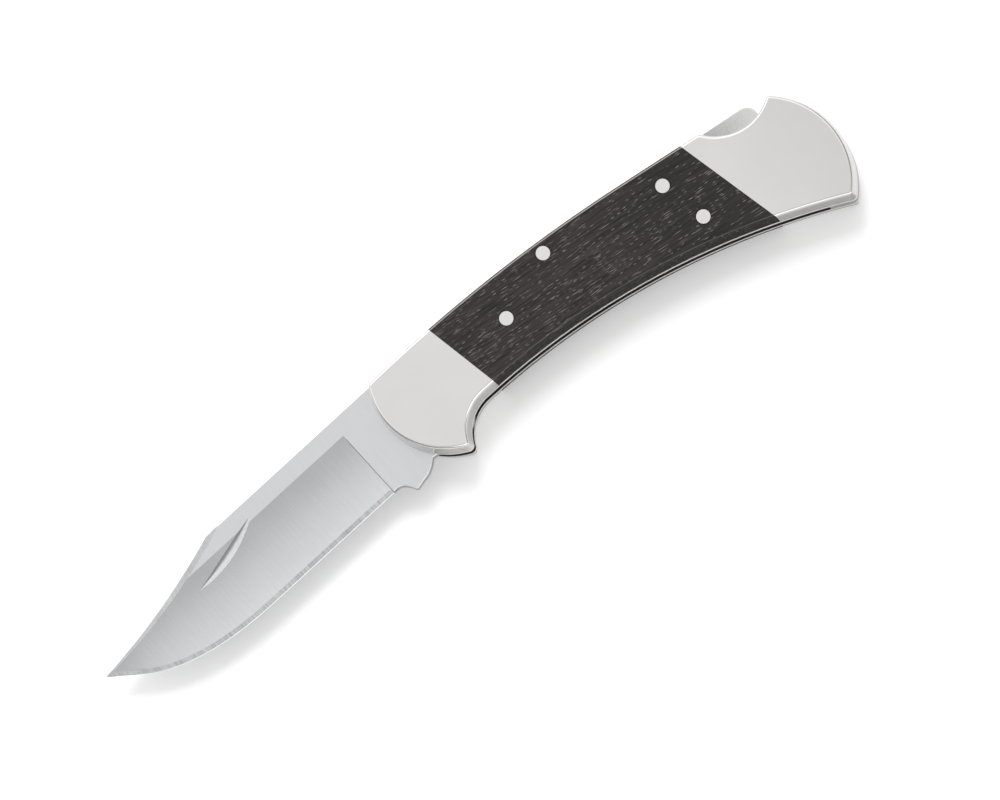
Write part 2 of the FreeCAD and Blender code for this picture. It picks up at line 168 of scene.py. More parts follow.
def above_pivot(radius, x):
    """The place on a circle about the pivot, on its upper half."""
    return x, math.sqrt(radius ** 2 - x ** 2)


def half_turn(place):
    """Where a place comes to when the blade folds."""
    return -place[0], -place[1]


def flat(x, y, z=0.0):
    """A place on the drawing, given in millimetres."""
    return Vector((x, y, z)) * mm


def draw(bm, start, stretches):
    """Draws an outline: each stretch ends at a place, straight, as an arc about a centre or as a curve."""
    pen = bmesh.ops.create_vert(bm, co=flat(*start))["vert"][0]
    for stretch in stretches:
        end = stretch["to"]
        if "about" in stretch:
            centre = flat(*stretch["about"])
            begin_angle = math.atan2(pen.co.y - centre.y, pen.co.x - centre.x)
            turn = math.atan2(end[1] * mm - centre.y, end[0] * mm - centre.x) - begin_angle
            turn = (turn + math.pi) % (2 * math.pi) - math.pi
            made = bmesh.ops.spin(bm, geom=[pen], cent=centre, axis=(0, 0, 1), angle=turn,
                                  steps=stretch["steps"], use_merge=False, use_duplicate=False)
            pen = next(g for g in made["geom_last"] if isinstance(g, bmesh.types.BMVert))
            pen.co = flat(*end)
            continue
        places = [end]
        if "bend" in stretch:
            handles = [pen.co.copy()] + [flat(*p) for p in stretch["bend"]] + [flat(*end)]
            places = [p / mm for p in interpolate_bezier(*handles, stretch["steps"] + 1)[1:]]
        for place in places:
            made = bmesh.ops.extrude_vert_indiv(bm, verts=[pen])
            pen = made["verts"][0]
            pen.co = flat(place[0], place[1])
    bmesh.ops.remove_doubles(bm, verts=bm.verts, dist=weld)
    return bmesh.ops.contextual_create(bm, geom=bm.edges[:])["faces"][0]


def round_corner(bm, place, radius, segments):
    """Rounds a corner of a drawn outline with a radius, whatever its angle."""
    corner = min(bm.verts, key=lambda v: (v.co - flat(*place)).length)
    one, other = [edge.other_vert(corner).co - corner.co for edge in corner.link_edges]
    bmesh.ops.bevel(bm, geom=[corner], offset=radius * mm / math.tan(one.angle(other) / 2),
                    offset_type="OFFSET", affect="VERTICES", segments=segments, profile=0.5, material=-1)


def raise_slab(bm, z, thickness):
    """Turns a drawn face into a slab of some thickness."""
    faces = bm.faces[:]
    made = bmesh.ops.extrude_face_region(bm, geom=faces)
    lifted = [g for g in made["geom"] if isinstance(g, bmesh.types.BMVert)]
    bmesh.ops.translate(bm, verts=lifted, vec=flat(0, 0, thickness))
    bmesh.ops.translate(bm, verts=bm.verts, vec=flat(0, 0, z))
    bmesh.ops.recalc_face_normals(bm, faces=bm.faces)


def rim_edges(bm, z):
    """The edges round a slab's flat face at one height."""
    level = [e for e in bm.edges if all(abs(v.co.z - z * mm) < weld for v in e.verts)]
    return [e for e in level if any(abs(f.normal.z) < 0.5 for f in e.link_faces)]


def break_edges(bm, edges, width, segments):
    """Rounds edges over, as a file or a wheel does."""
    bmesh.ops.bevel(bm, geom=edges, offset=width * mm, offset_type="OFFSET", affect="EDGES",
                    segments=segments, profile=0.5, material=-1, clamp_overlap=True)


def finish_piece(name, bm, materials, crease_degrees=25):
    """Makes an object of a mesh, smooth but for its creases."""
    mesh = bpy.data.meshes.new(name)
    bm.to_mesh(mesh)
    bm.free()
    made = bpy.data.objects.new(name, mesh)
    bpy.context.scene.collection.objects.link(made)
    for material in materials:
        mesh.materials.append(material)
    smooth_but_creases(mesh, crease_degrees)
    return made


def smooth_but_creases(mesh, crease_degrees):
    """Shades a mesh smooth, apart from edges sharper than an angle."""
    bm = bmesh.new()
    bm.from_mesh(mesh)
    for face in bm.faces:
        face.smooth = True
    for edge in bm.edges:
        edge.smooth = edge.calc_face_angle(0) < math.radians(crease_degrees)
    bm.to_mesh(mesh)
    bm.free()


def cut_away(piece, cutters, crease_degrees=25):
    """Takes each cutter's shape out of a piece, as a drill or a wheel does."""
    for cutter in cutters:
        saw = piece.modifiers.new("cut", "BOOLEAN")
        saw.operation = "DIFFERENCE"
        saw.solver = "EXACT"
        saw.object = cutter
    cut = piece.evaluated_get(bpy.context.evaluated_depsgraph_get())
    mesh = bpy.data.meshes.new_from_object(cut)
    piece.modifiers.clear()
    mesh.name = piece.name
    piece.data = mesh
    for cutter in cutters:
        bpy.data.objects.remove(cutter)
    smooth_but_creases(mesh, crease_degrees)


round_steps = 64
drill_clear = 1.0


def drill_bit(x, y, radius, z, thickness):
    """A cylinder that stands for a drill, long enough to go through a piece of some thickness."""
    bm = bmesh.new()
    bmesh.ops.create_cone(bm, cap_ends=True, segments=round_steps, radius1=radius * mm, radius2=radius * mm,
                          depth=(thickness + 2 * drill_clear) * mm,
                          matrix=Matrix.Translation(flat(x, y, z + thickness / 2)))
    return finish_piece("drill", bm, [])


def even_normals(piece):
    """Lets the large faces rule the shading, so that flats stay flat beside rounded edges."""
    weights = piece.modifiers.new("flat_faces", "WEIGHTED_NORMAL")
    weights.keep_sharp = True
    weights.weight = 60


# The faces are ground across the blade, so their lines run from back to edge. Real lines are a few hundredths
# of a millimetre wide, and they are drawn as coarse as they need to show. The flats are a plain satin and the
# hollow is a little brighter. The stone streaks the edge bevel, and the belt leaves the clip speckled.
# The nick is cut along the blade: its slope is duller, and its wall is painted darkest, as painted shade for
# the shadow in the nick.
flat_steel = ground_metal("stainless_steel_flat_ground", "cdced0", "d3d4d5", (0.23, 0.26),
                          0.4 * mm, 7 * mm, 0.0004 * mm)
hollow_steel = ground_metal("stainless_steel_hollow_ground", "cdcfd1", "d5d7d9", (0.21, 0.25),
                            0.5 * mm, 9 * mm, 0.0004 * mm)
honed_steel = ground_metal("stainless_steel_edge_honed", "86878a", "f6f7f8", (0.30, 0.42),
                           0.2 * mm, 3 * mm, 0.005 * mm)
nick_steel = ground_metal("stainless_steel_nick_wheel_cut", "a8a9ab", "d6d7d9", (0.26, 0.32),
                          3 * mm, 0.2 * mm, 0.0006 * mm)
nick_wall_painted_shade_steel = ground_metal("stainless_steel_nick_wall_painted_shade", "8a8b8d", "b4b5b7", (0.26, 0.32),
                               3 * mm, 0.2 * mm, 0.0006 * mm)
clip_steel = ground_metal("stainless_steel_clip_belt_ground", "aeafb0", "e2e3e4", (0.28, 0.36),
                          0.2 * mm, 2 * mm, 0.002 * mm)
blade_finishes = [flat_steel, hollow_steel, honed_steel, nick_steel, nick_wall_painted_shade_steel, clip_steel]

# The tang has a notch for the lock bar's tooth and, half a turn away, another that holds the blade folded.
notch_rim = above_pivot(tang_radius, notch_end)
notch_floor = above_pivot(notch_radius, notch_end)
notch_corner = above_pivot(notch_radius, notch_stop)
bm = bmesh.new()
draw(bm, (notch_stop, blade_back), [
    {"to": clip_corner},
    {"to": tip, "about": clip_centre, "steps": 24},
    {"to": edge_curves[1][0], "bend": edge_curves[1][2:0:-1], "steps": edge_steps},
    {"to": edge_curves[0][0], "bend": edge_curves[0][2:0:-1], "steps": edge_steps},
    {"to": (plunge_x, edge_y)},
    {"to": (-13.766, -7.664), "bend": [(-15.287, -4.605), (-14.21, -6.559)], "steps": 10},
    {"to": (-13.3, -8.0)},
    {"to": (-9.842, -7.272)},
    {"to": (-6.9, -5.4), "bend": [(-8.7, -6.85), (-7.6, -6.05)], "steps": 8},
    {"to": half_turn(notch_rim)},
    {"to": half_turn(notch_floor)},
    {"to": half_turn(notch_corner), "about": pivot, "steps": 8},
    {"to": half_turn(above_pivot(tang_radius, notch_stop))},
    {"to": notch_rim, "about": pivot, "steps": 28},
    {"to": notch_floor},
    {"to": notch_corner, "about": pivot, "steps": 8},
    {"to": (notch_stop, blade_back)},
])
raise_slab(bm, blade_z, blade_thick)
break_edges(bm, rim_edges(bm, blade_z) + rim_edges(bm, blade_z + blade_thick), blade_break, 2)
blade = finish_piece("blade_steel", bm, blade_finishes)


def wheel_cutter(stations, rows, place, finish_of):
    """A ground surface as a grid of stations and rows, raised into the block that the wheel takes off."""
    bm = bmesh.new()
    bmesh.ops.create_grid(bm, x_segments=len(stations) - 1, y_segments=rows, size=0.5)
    for vert in bm.verts:
        station = round((vert.co.x + 0.5) * (len(stations) - 1))
        row = round((vert.co.y + 0.5) * rows)
        vert.co = flat(*place(stations[station], row))
        vert.index = row
    for face in bm.faces:
        face.material_index = blade_finishes.index(finish_of(min(v.index for v in face.verts)))
    made = bmesh.ops.extrude_face_region(bm, geom=bm.faces[:], use_keep_orig=True)
    for geom in made["geom"]:
        if isinstance(geom, bmesh.types.BMVert):
            geom.co.z = (blade_middle + blade_thick) * mm
    bmesh.ops.recalc_face_normals(bm, faces=bm.faces)
    return bm


def other_face(bm):
    """The same cutter for the blade's lower face."""
    twin = bm.copy()
    bmesh.ops.scale(twin, verts=twin.verts, vec=(1, 1, -1))
    bmesh.ops.translate(twin, verts=twin.verts, vec=flat(0, 0, 2 * blade_middle))
    bmesh.ops.recalc_face_normals(twin, faces=twin.faces)
    return twin


# The hollow is ground on a wheel of 60 mm radius, whose corner leaves a small round at the plunge line.
# The edge bevel is honed below it, and a fine second bevel along the very edge gives its bright line.
wheel_radius = 60.0
shoulder_half = 0.28
edge_half = 0.03
bevel_width = 1.1
bevel_run_in = 0.8
bevel_overrun = 0.3
fine_width = 0.13
fine_half = 0.09
plunge_round = 0.22
plunge_steps = 8
hollow_rows = 16
past_tip = (tip[0] - 1.2, tip[1] + 0.89)
stations = []
for i in range(plunge_steps + 1):
    stations.append((plunge_x - plunge_round * (1 - math.cos(math.pi / 2 * i / plunge_steps)), edge_y))
stations += [(x, edge_y) for x in (-18.1, -20, -25, -30, -35, -40, -45)]
for curve in edge_curves:
    ends = [flat(*p) for p in curve]
    stations += [(p.x / mm, p.y / mm) for p in interpolate_bezier(*ends, edge_steps + 1)[:-1]]
stations += [tip, past_tip]


def hollow_half(shoulder_y, share):
    """Half the blade's thickness at a share of the way down the hollow."""
    chord = blade_half + (shoulder_half - blade_half) * share
    length = math.hypot(grind_y - shoulder_y, blade_half - shoulder_half)
    return chord - share * (1 - share) * length ** 2 / (2 * wheel_radius)


def grind_place(station, row):
    """Where wheel and stone leave the upper face: rows go down the hollow, then the two edge bevels."""
    x, y = station
    share = min(row / hollow_rows, 1.0)
    shoulder_y = y + bevel_width * min(0.5 + 0.5 * (plunge_x - x) / bevel_run_in, 1.0)
    across = grind_y + (shoulder_y - grind_y) * share
    hollow = hollow_half(shoulder_y, share)
    if row == hollow_rows + 1:
        across = y + fine_width
        hollow = fine_half
    if row == hollow_rows + 2:
        across = y - bevel_overrun
        hollow = edge_half - (fine_half - edge_half) * bevel_overrun / fine_width
    into = min((plunge_x - x) / plunge_round, 1.0)
    depth = math.sqrt(max(1 - (1 - into) ** 2, 0))
    return x, across, blade_middle + blade_half - (blade_half - hollow) * depth


finish_of_row = {hollow_rows: honed_steel, hollow_rows + 1: flat_steel}
grind = wheel_cutter(stations, hollow_rows + 2, grind_place,
                     lambda row: finish_of_row.get(row, hollow_steel))

# The false edge is a bevel along the clip that follows the hollow below it and runs out at the tip.
false_width = 1.5
false_half = 0.5
false_overrun = 1.0
false_lead = 3.6
false_steps = 12
past_clip = (tip[0] - 1.0, tip[1] - 0.3)
clip_radius = math.hypot(clip_corner[0] - clip_centre[0], clip_corner[1] - clip_centre[1])
clip_stations = [(clip_corner[0] + false_lead, clip_corner[1], 0.0)]
for i in range(false_steps + 1):
    x = clip_corner[0] + (tip[0] - clip_corner[0]) * i / false_steps
    y = clip_centre[1] - math.sqrt(clip_radius ** 2 - (x - clip_centre[0]) ** 2)
    clip_stations.append((x, y, false_width * math.sqrt(1 - i / false_steps)))
clip_stations.append((*past_clip, 0.0))


def face_half(x, y):
    """Half the blade's thickness at a place near the clip, on the flat or in the hollow."""
    after = next((i for i, place in enumerate(stations) if place[0] <= x), len(stations) - 1)
    (x1, y1), (x2, y2) = stations[after - 1], stations[after]
    shoulder_y = y1 + (y2 - y1) * (x - x1) / (x2 - x1) + bevel_width
    share = (grind_y - y) / max(grind_y - shoulder_y, bevel_width)
    return hollow_half(shoulder_y, min(max(share, 0.0), 1.0))


def false_edge_place(station, row):
    """Where the belt leaves the upper face along the clip: the bevel's inner line, then past the outline."""
    x, y, width = station
    inner_z = blade_middle + face_half(x, y - width)
    slope = (blade_half - false_half) / false_width
    if row == 0:
        return x, y - width, inner_z
    return x, y + false_overrun, inner_z - slope * (width + false_overrun)


false_edge = wheel_cutter(clip_stations, 1, false_edge_place, lambda row: clip_steel)

# The nail nick is cut by a large leaning wheel: its side leaves the steep upper wall, its rim the slope.
nick_length = 22.55
nick_depth = 0.92
nick_wheel_width = 2.4
nick_lean = math.radians(42)
nick_flare = math.radians(26.6)
nick_tilt = math.radians(11.9)
nick_middle = (-53.45, 8.765)
nick_steps = 360
nick_reach = nick_depth / math.cos(nick_lean)
nick_radius = (nick_length ** 2 / 4 + nick_reach ** 2) / (2 * nick_reach)
nick = bmesh.new()
bmesh.ops.create_cone(nick, cap_ends=True, segments=nick_steps, radius2=nick_radius * mm,
                      radius1=(nick_radius + nick_wheel_width * math.tan(nick_flare)) * mm,
                      depth=nick_wheel_width * mm, matrix=Matrix.Rotation(-math.pi / 2, 4, "X"))
bmesh.ops.translate(nick, verts=nick.verts, vec=flat(0, -nick_wheel_width / 2, nick_radius - nick_reach))
bmesh.ops.rotate(nick, verts=nick.verts, cent=(0, 0, 0), matrix=Matrix.Rotation(-nick_lean, 3, "X"))
bmesh.ops.rotate(nick, verts=nick.verts, cent=(0, 0, 0), matrix=Matrix.Rotation(nick_tilt, 3, "Z"))
bmesh.ops.translate(nick, verts=nick.verts, vec=flat(*nick_middle, blade_middle + blade_half))
# The nick's wall takes the steel that is painted dark as shade.
for face in nick.faces:
    from_wheel_side = len(face.verts) > 4
    face.material_index = blade_finishes.index(nick_wall_painted_shade_steel if from_wheel_side else nick_steel)

cutters = [finish_piece("cutter", shape, blade_finishes)
           for shape in (grind, other_face(grind), false_edge, other_face(false_edge), nick)]
cutters.append(drill_bit(*pivot, pivot_bore, blade_z, blade_thick))
cut_away(blade, cutters, crease_degrees=6)
even_normals(blade)


def fit(piece, body, node):
    """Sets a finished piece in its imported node's place, on the body that carries it."""
    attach(piece, body)
    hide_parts(node)


fit(blade, "blade", "blade")

# Lock bar: a steel bar let into the back, with a tooth for the tang at its front and a thumb end at its rear.
# It is cut from carbon steel and rocks on its own pin between the liners.
# Its back is ground together with the handle and then satin finished.
lock_pin = (37.4, 9.196)
lock_bore = 1.605
tooth_radius = 7.0
tooth_front = -0.9
tooth_rear = 3.5
tooth_top = (tooth_front, 14.187)
back_arc = {"to": (58.0, 9.414), "about": (2.0, -315.8), "steps": 40}
thumb_top = (88.6, 4.5)
thumb_bottom = (88.6, 0.193)
bar_break = 0.35
paler_from = 76 * mm
paler_to = 88 * mm

# Satin carbon steel is an even, slightly grainy grey. Its grain is drawn 0.3 mm across to show.
bar_steel = ground_metal("carbon_steel_bar_satin", "838485", "cacaca", (0.42, 0.58),
                         0.3 * mm, 0.3 * mm, 0.004 * mm)
# The bar's colour grows paler towards its thumb end.
tree, shader = shader_of(bar_steel)
along = add(tree, "ShaderNodeSeparateXYZ", {0: add(tree, "ShaderNodeTexCoord").outputs["Object"]})
toward_thumb_end = add(tree, "ShaderNodeMapRange", {0: along.outputs[0], 1: paler_from, 2: paler_to, 3: 0.0, 4: 0.75})
satin = shader.inputs["Base Color"].links[0].from_socket
thumb_end_tone = add(tree, "ShaderNodeMix", {0: toward_thumb_end.outputs[0], 6: satin, 7: srgb("d8d8d7")}, data_type="RGBA")
# Its broken edges are rubbed smoother, and they are painted paler as a highlight along them.
turn = add(tree, "ShaderNodeSeparateXYZ", {0: add(tree, "ShaderNodeTexCoord").outputs["Normal"]})
lying = add(tree, "ShaderNodeMath", {0: turn.outputs[2]}, operation="ABSOLUTE")
rubbed_and_highlit = add(tree, "ShaderNodeMapRange", {0: lying.outputs[0], 1: 0.98, 2: 0.85, 3: 0.0, 4: 0.9})
edge_painted_highlight_tone = add(tree, "ShaderNodeMix", {0: rubbed_and_highlit.outputs[0], 6: thumb_end_tone.outputs[2], 7: srgb("eeeeec")},
                  data_type="RGBA")
tree.links.new(edge_painted_highlight_tone.outputs[2], shader.inputs["Base Color"])
satin_rough = shader.inputs["Roughness"].links[0].from_socket
rubbed_rough = add(tree, "ShaderNodeMix", {0: rubbed_and_highlit.outputs[0], 2: satin_rough, 3: 0.25}, data_type="FLOAT")
tree.links.new(rubbed_rough.outputs[0], shader.inputs["Roughness"])

bm = bmesh.new()
draw(bm, tooth_top, [
    back_arc,
    {"to": (66.0, 8.036)},
    {"to": thumb_top},
    {"to": thumb_bottom},
    {"to": (76.814, 0.193)},
    {"to": (50.0, 5.65), "bend": [(70.5, 3.4), (60.0, 5.65)], "steps": 16},
    {"to": (37.4, 5.65)},
    {"to": (14.4, 9.1)},
    {"to": (tooth_rear, 9.1)},
    {"to": above_pivot(tooth_radius, tooth_rear)},
    {"to": above_pivot(tooth_radius, tooth_front), "about": pivot, "steps": 8},
    {"to": tooth_top},
])
round_corner(bm, thumb_top, 2.4, 8)
round_corner(bm, thumb_bottom, 1.0, 6)
raise_slab(bm, blade_z, blade_thick)
break_edges(bm, rim_edges(bm, blade_z) + rim_edges(bm, blade_z + blade_thick), bar_break, 4)
lock_bar = finish_piece("lock_bar_steel", bm, [bar_steel])
cut_away(lock_bar, [drill_bit(*lock_pin, lock_bore, blade_z, blade_thick)])
even_normals(lock_bar)
fit(lock_bar, "lock_bar", "lock_bar")

# Bolsters: solid nickel silver at both ends of the handle, two a side, pinned and soldered to the liners.
# They are shaped with the scales in place, their rims rounded over, and buffed to a bright polish.
total_thick = 2 * blade_z + blade_thick
side_inset = 0.45
rim_radius = 0.65
rim_steps = 8
front_seam = ((9.8, 14.108), (12.7, -3.9))
rear_seam = ((72.3, 6.951), (77.1, -18.101))
pivot_hole = 2.402
holder_pins = [(92.536, -5.678), (91.12, -17.962)]
holder_hole = 1.502
saw_snap = 0.0001 * mm


def side_slab():
    """One side of the handle in one block, whose walls lean in to the outer face and end in a rounded rim."""
    bm = bmesh.new()
    draw(bm, (-6.217, 14.098), [
        back_arc,
        {"to": (76.142, 6.29)},
        {"to": (77.598, 5.345), "about": (75.769, 4.122), "steps": 6},
        {"to": (91.483, 2.2), "about": (86.2, 11.1), "steps": 20},
        {"to": (92.955, 2.005), "about": (92.095, 1.168), "steps": 8},
        {"to": (92.066, -24.66), "about": (79.7, -10.9), "steps": 32},
        {"to": (90.684, -24.818), "about": (91.264, -23.767), "steps": 8},
        {"to": (9.5, -3.9), "about": (9.5, -171.9), "steps": 56},
        {"to": (1.077, -9.128), "about": (9.5, -13.3), "steps": 20},
        {"to": (-0.535, -9.668), "about": (0.002, -8.595), "steps": 8},
        {"to": (-7.212, 13.522), "about": (6.8, 5.0), "steps": 32},
        {"to": (-6.217, 14.098), "about": (-6.187, 12.898), "steps": 8},
    ])
    bmesh.ops.translate(bm, verts=bm.verts, vec=flat(0, 0, total_thick - side_thick))
    face = bm.faces[:][0]
    if face.normal.z < 0:
        bmesh.ops.reverse_faces(bm, faces=[face])
    climb = [(side_inset, side_thick - rim_radius)]
    for i in range(rim_steps):
        low = math.pi / 2 * i / rim_steps
        high = math.pi / 2 * (i + 1) / rim_steps
        climb.append((rim_radius * (math.cos(low) - math.cos(high)),
                      rim_radius * (math.sin(high) - math.sin(low))))
    for inward, upward in climb:
        bmesh.ops.inset_region(bm, faces=[face], thickness=inward * mm, use_boundary=True,
                               use_even_offset=True)
        bmesh.ops.translate(bm, verts=face.verts, vec=flat(0, 0, upward))
    bmesh.ops.holes_fill(bm, edges=[e for e in bm.edges if e.is_boundary], sides=0)
    bmesh.ops.recalc_face_normals(bm, faces=bm.faces)
    return bm


def keep_beyond(bm, seam, ahead):
    """Saws a slab along a seam and keeps what lies ahead of it, or behind it, with a closed face."""
    top, bottom = flat(*seam[0]), flat(*seam[1])
    across = (bottom - top).cross(Vector((0, 0, 1)))
    if (across.x > 0) == ahead:
        across.negate()
    bmesh.ops.bisect_plane(bm, geom=bm.verts[:] + bm.edges[:] + bm.faces[:], dist=saw_snap,
                           plane_co=top, plane_no=across, clear_inner=True)
    bmesh.ops.holes_fill(bm, edges=[e for e in bm.edges if e.is_boundary], sides=0)
    bmesh.ops.recalc_face_normals(bm, faces=bm.faces)


def to_right_side(bm):
    """Turns a left piece into its twin on the right side."""
    bmesh.ops.scale(bm, verts=bm.verts, vec=(1, 1, -1))
    bmesh.ops.translate(bm, verts=bm.verts, vec=flat(0, 0, total_thick))
    bmesh.ops.recalc_face_normals(bm, faces=bm.faces)


def side_piece(name, seams, holes, material, side):
    """One piece of a side: sawn from the slab, drilled for its pins, and set on its side of the knife."""
    bm = side_slab()
    for seam, ahead in seams:
        keep_beyond(bm, seam, ahead)
    if side == "right":
        to_right_side(bm)
    made = finish_piece(name, bm, [material])
    cut_away(made, [drill_bit(*place, radius, 0, total_thick) for place, radius in holes])
    even_normals(made)
    return made


# Buffed nickel silver mirrors the room softly. Buffing leaves faint clouds some 12 mm across and shallow
# hairlines, drawn 0.35 mm wide to show.
cloud_size = 12 * mm
hair_size = (9 * mm, 0.35 * mm, 0.35 * mm)
hair_turn = math.radians(-35)
butt_shade_from = 70 * mm
butt_shade_to = 98 * mm
heel_shade_from = 72 * mm
heel_shade_to = 92 * mm
polish, tree, shader, place = start_material("nickel_silver_buffed")
cloud = add(tree, "ShaderNodeTexNoise", {"Vector": place, "Scale": 1 / cloud_size, "Detail": 2.0})
hair_place = add(tree, "ShaderNodeMapping", {"Vector": place, "Rotation": (0, 0, hair_turn),
                                             "Scale": hair_size}, vector_type="TEXTURE")
hair = add(tree, "ShaderNodeTexNoise", {"Vector": hair_place.outputs[0], "Scale": 1.0, "Detail": 2.0})
tone = add(tree, "ShaderNodeMix", {0: cloud.outputs[0], 6: srgb("d9d8d7"), 7: srgb("e1e0df")},
           data_type="RGBA")
# The wheel crowns the rear bolster a little. Its colour is painted darker towards the butt, as painted shade
# for the darker room that the crowned face mirrors there.
along = add(tree, "ShaderNodeSeparateXYZ", {0: place})
butt_painted_shade = add(tree, "ShaderNodeMapRange", {0: along.outputs[0], 1: butt_shade_from, 2: butt_shade_to, 3: 0.0, 4: 1.0})
tone = add(tree, "ShaderNodeMix", {0: butt_painted_shade.outputs[0], 6: tone.outputs[2], 7: srgb("d1d0ce")},
           data_type="RGBA")
# The belly's walls are painted darker, most of all towards the heel: painted shade for the shadowed paper
# that they mirror.
turn = add(tree, "ShaderNodeSeparateXYZ", {0: add(tree, "ShaderNodeTexCoord").outputs["Normal"]})
facing = add(tree, "ShaderNodeMapRange", {0: turn.outputs[1], 1: -0.8, 2: -0.95, 3: 0.0, 4: 1.0})
heel_shade_share = add(tree, "ShaderNodeMapRange", {0: along.outputs[0], 1: heel_shade_from, 2: heel_shade_to, 3: 0.15, 4: 0.9})
belly_wall_painted_shade = add(tree, "ShaderNodeMath", {0: facing.outputs[0], 1: heel_shade_share.outputs[0]}, operation="MULTIPLY")
tone = add(tree, "ShaderNodeMix", {0: belly_wall_painted_shade.outputs[0], 6: tone.outputs[2], 7: srgb("8c8b8a")},
           data_type="RGBA")
rough = add(tree, "ShaderNodeMapRange", {0: hair.outputs[0], 1: 0.3, 2: 0.7, 3: 0.13, 4: 0.19})
bump = add(tree, "ShaderNodeBump", {"Height": hair.outputs[0], "Strength": 1.0, "Distance": 0.0006 * mm})
tree.links.new(tone.outputs[2], shader.inputs["Base Color"])
tree.links.new(rough.outputs[0], shader.inputs["Roughness"])
tree.links.new(bump.outputs[0], shader.inputs["Normal"])
shader.inputs["Metallic"].default_value = 1.0

for side in ("left", "right"):
    front = side_piece(side + "_front_bolster_polished", [(front_seam, True)],
                       [(pivot, pivot_hole)], polish, side)
    fit(front, "handle", side + "_front_bolster")
    rear = side_piece(side + "_rear_bolster_polished", [(rear_seam, False)],
                      [(pin, holder_hole) for pin in holder_pins], polish, side)
    fit(rear, "handle", side + "_rear_bolster")

# Pivot and holder pins: nickel silver rod through both sides, peened into the bolsters and buffed with them.
# Their ends can't be told from the bolsters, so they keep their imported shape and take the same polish.
for pin in ("blade_pivot_pin", "upper_holder_pin", "lower_holder_pin"):
    dress(pin, polish)

# Scales: slabs of a dense near-black hardwood between the bolsters, glued and riveted to the liners.
# They are sanded flush with the metal and oiled; the open pores run slanting to the back and catch pale dust.
rivets = {"front": (23.05, 4.414), "rear_upper": (64.363, 2.811), "rear_lower": (66.238, -7.459)}
rivet_hole = 1.62

# Oiled hardwood this dark is nearly black and faintly glossy, with soft streaks of 0.4 mm along its grain.
grain_slant = math.radians(-9)
streak_size = (8 * mm, 0.4 * mm, 0.4 * mm)
cluster_size = 5 * mm
close_from = 45 * mm
close_to = 68 * mm
wood, tree, shader, place = start_material("dark_hardwood_oiled")
streak_place = add(tree, "ShaderNodeMapping", {"Vector": place, "Rotation": (0, 0, grain_slant),
                                               "Scale": streak_size}, vector_type="TEXTURE")
streak = add(tree, "ShaderNodeTexNoise", {"Vector": streak_place.outputs[0], "Scale": 1.0, "Detail": 4.0})
cluster = add(tree, "ShaderNodeTexNoise", {"Vector": place, "Scale": 1 / cluster_size, "Detail": 2.0})
crowd = add(tree, "ShaderNodeMapRange", {0: cluster.outputs[0], 1: 0.3, 2: 0.7, 3: 0.25, 4: 0.85})
# The board is a little darker and closer towards its rear end.
along = add(tree, "ShaderNodeSeparateXYZ", {0: place})
rear_end = add(tree, "ShaderNodeMapRange", {0: along.outputs[0], 1: close_from, 2: close_to, 3: 1.0, 4: 0.6})
crowd = add(tree, "ShaderNodeMath", {0: crowd.outputs[0], 1: rear_end.outputs[0]}, operation="MULTIPLY")
# Pores are 1 to 3 mm long. Real ones are 0.1 mm wide, and they are drawn twice as wide to show.
# Each is a groove painted dark as shade, and its lower lip is painted pale: partly the pore's pale dust,
# partly a painted highlight.
pore_width = 0.2 * mm
pore_depth = 0.02 * mm
lip_highlight_shift = -0.12 * mm
short_pore = (1.5 * mm, 0.75)
long_pore = (4.0 * mm, 0.5)


def pores(length, share, shift):
    """How much of a pore is here, of one length and share of the cells, and how pale its dust."""
    cells = add(tree, "ShaderNodeMapping", {"Vector": place, "Rotation": (0, 0, grain_slant),
                                            "Location": (0, shift, 0),
                                            "Scale": (length, pore_width, pore_width)}, vector_type="TEXTURE")
    pore = add(tree, "ShaderNodeTexVoronoi", {"Vector": cells.outputs[0], "Scale": 1.0, "Randomness": 1.0})
    pick = add(tree, "ShaderNodeSeparateColor", {0: pore.outputs["Color"]})
    limit = add(tree, "ShaderNodeMath", {0: crowd.outputs[0], 1: share}, operation="MULTIPLY")
    chosen = add(tree, "ShaderNodeMath", {0: pick.outputs[0], 1: limit.outputs[0]}, operation="LESS_THAN")
    core = add(tree, "ShaderNodeMapRange", {0: pore.outputs["Distance"], 1: 0.1, 2: 0.4, 3: 1.0, 4: 0.0},
               interpolation_type="SMOOTHSTEP")
    mask = add(tree, "ShaderNodeMath", {0: chosen.outputs[0], 1: core.outputs[0]}, operation="MULTIPLY")
    return mask.outputs[0], pick.outputs[1]


short_groove, _ = pores(*short_pore, 0.0)
long_groove, _ = pores(*long_pore, 0.0)
groove_with_painted_shade = add(tree, "ShaderNodeMath", {0: short_groove, 1: long_groove}, operation="MAXIMUM").outputs[0]
short_lip_highlight, dust = pores(*short_pore, lip_highlight_shift)
long_lip_highlight, _ = pores(*long_pore, lip_highlight_shift)
lip_highlight = add(tree, "ShaderNodeMath", {0: short_lip_highlight, 1: long_lip_highlight}, operation="MAXIMUM").outputs[0]
fibre = add(tree, "ShaderNodeMapRange", {0: streak.outputs[0], 1: 0.32, 2: 0.68, 3: 0.0, 4: 1.0})
fibre = add(tree, "ShaderNodeMath", {0: fibre.outputs[0], 1: rear_end.outputs[0]}, operation="MULTIPLY")
ground = add(tree, "ShaderNodeMix", {0: fibre.outputs[0], 6: srgb("0d0a09"), 7: srgb("312b2a")},
             data_type="RGBA")
